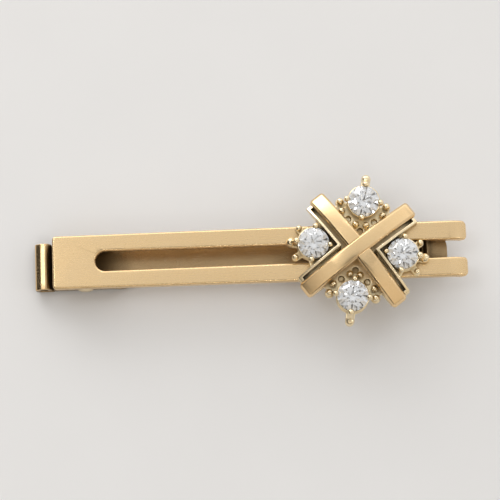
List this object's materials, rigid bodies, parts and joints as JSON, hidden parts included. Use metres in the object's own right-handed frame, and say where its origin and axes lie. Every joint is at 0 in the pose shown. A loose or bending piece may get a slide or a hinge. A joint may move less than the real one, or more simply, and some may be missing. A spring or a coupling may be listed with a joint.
{
  "type": "tie clip",
  "caption": "Slotted two-rail tie clip with a sprung, toothed jaw behind it and a cross-shaped ornament set with clear round stones on its front.",
  "frame": {"origin": "point on the jaw's flat back, under the bar's centreline, 30.1 mm from the rail tips", "axes": "+X along the bar towards its open end, +Y across the bar, +Z out of the front"},
  "size_m": [0.0602, 0.021, 0.0093],
  "materials": {
    "gold_plate": "polished gold plate over brass, with fine wear marks",
    "bright_gold": "bright-cast gold plate with small rounded edges",
    "clear_stone": "colourless round brilliant cut",
    "spring_steel": "drawn spring wire"
  },
  "bodies": {
    "jaw": {"clip_jaw": "gold_plate"},
    "bar_assembly": {"front_bar": "gold_plate", "hinge_bracket": "gold_plate", "hinge_pin": "bright_gold", "torsion_spring": "spring_steel", "gallery_plate": "bright_gold", "cross_band_over": "gold_plate", "cross_band_under": "gold_plate", "collar_left": "bright_gold", "collar_right": "bright_gold", "setting_top": "bright_gold", "setting_right": "bright_gold", "setting_bottom": "bright_gold", "setting_left": "bright_gold", "stone_top": "clear_stone", "stone_right": "clear_stone", "stone_bottom": "clear_stone", "stone_left": "clear_stone", "beads_top": "bright_gold", "beads_right": "bright_gold", "beads_bottom": "bright_gold", "beads_left": "bright_gold"}
  },
  "joints": [
    {"name": "jaw_pivot", "type": "hinge", "parent": "jaw", "child": "bar_assembly", "pos_m": [-0.023, 0, 0.00205], "axis": [0, -1, 0], "range_deg": [0, 20], "stiffness_Nm_per_rad": 0.04, "springref_deg": -28.65, "deforming": ["torsion_spring"]}
  ]
}
